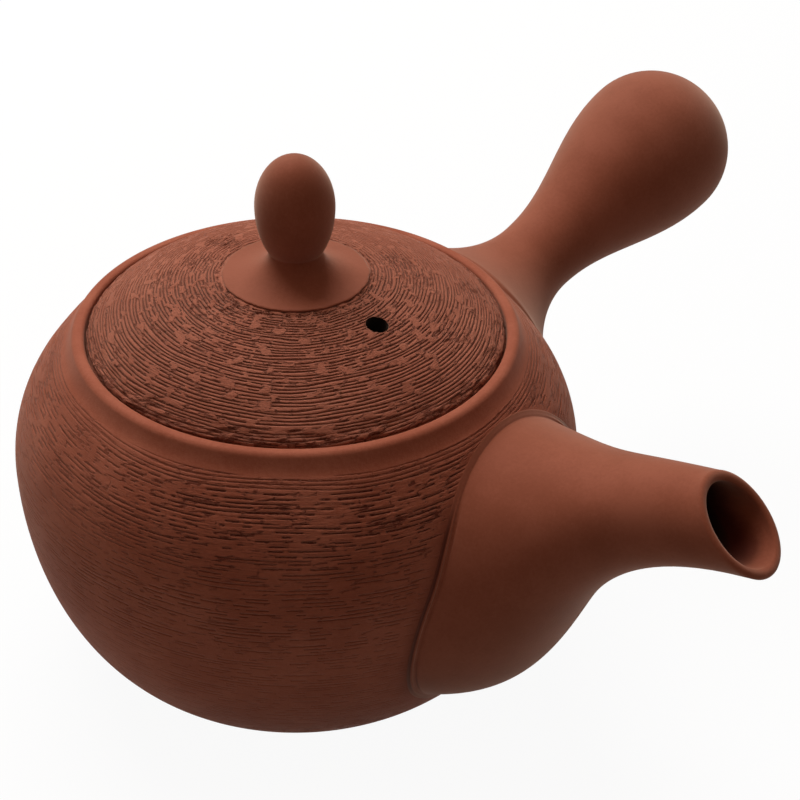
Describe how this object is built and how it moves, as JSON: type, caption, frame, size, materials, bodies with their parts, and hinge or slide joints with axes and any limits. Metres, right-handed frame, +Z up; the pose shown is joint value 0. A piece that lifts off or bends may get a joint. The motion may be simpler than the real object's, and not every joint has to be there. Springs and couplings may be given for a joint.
{
  "type": "kyusu teapot",
  "caption": "Round unglazed red clay teapot with a hollow side handle, a pouch-rooted spout with a slanted mouth, an inner domed strainer and a domed lift-off lid with an egg-shaped knob.",
  "frame": {"origin": "centre of the flat base, on the surface that the pot stands on", "axes": "+Z up along the pot's turning axis, +X along the spout, +Y towards the side handle"},
  "size_m": [0.1565, 0.1776, 0.1073],
  "materials": {
    "scored_clay": "matte unglazed red clay, scored with fine broken turning lines",
    "smooth_clay": "matte unglazed red clay, wiped smooth"
  },
  "bodies": {
    "pot": {"body": "scored_clay", "spout": "smooth_clay", "handle": "smooth_clay", "strainer": "smooth_clay"},
    "lid": {"lid": "scored_clay", "knob": "smooth_clay"}
  },
  "joints": [
    {"name": "lid_lift", "type": "slide", "parent": "pot", "child": "lid", "axis": [0, 0, 1], "range_m": [0, 0.08]}
  ]
}
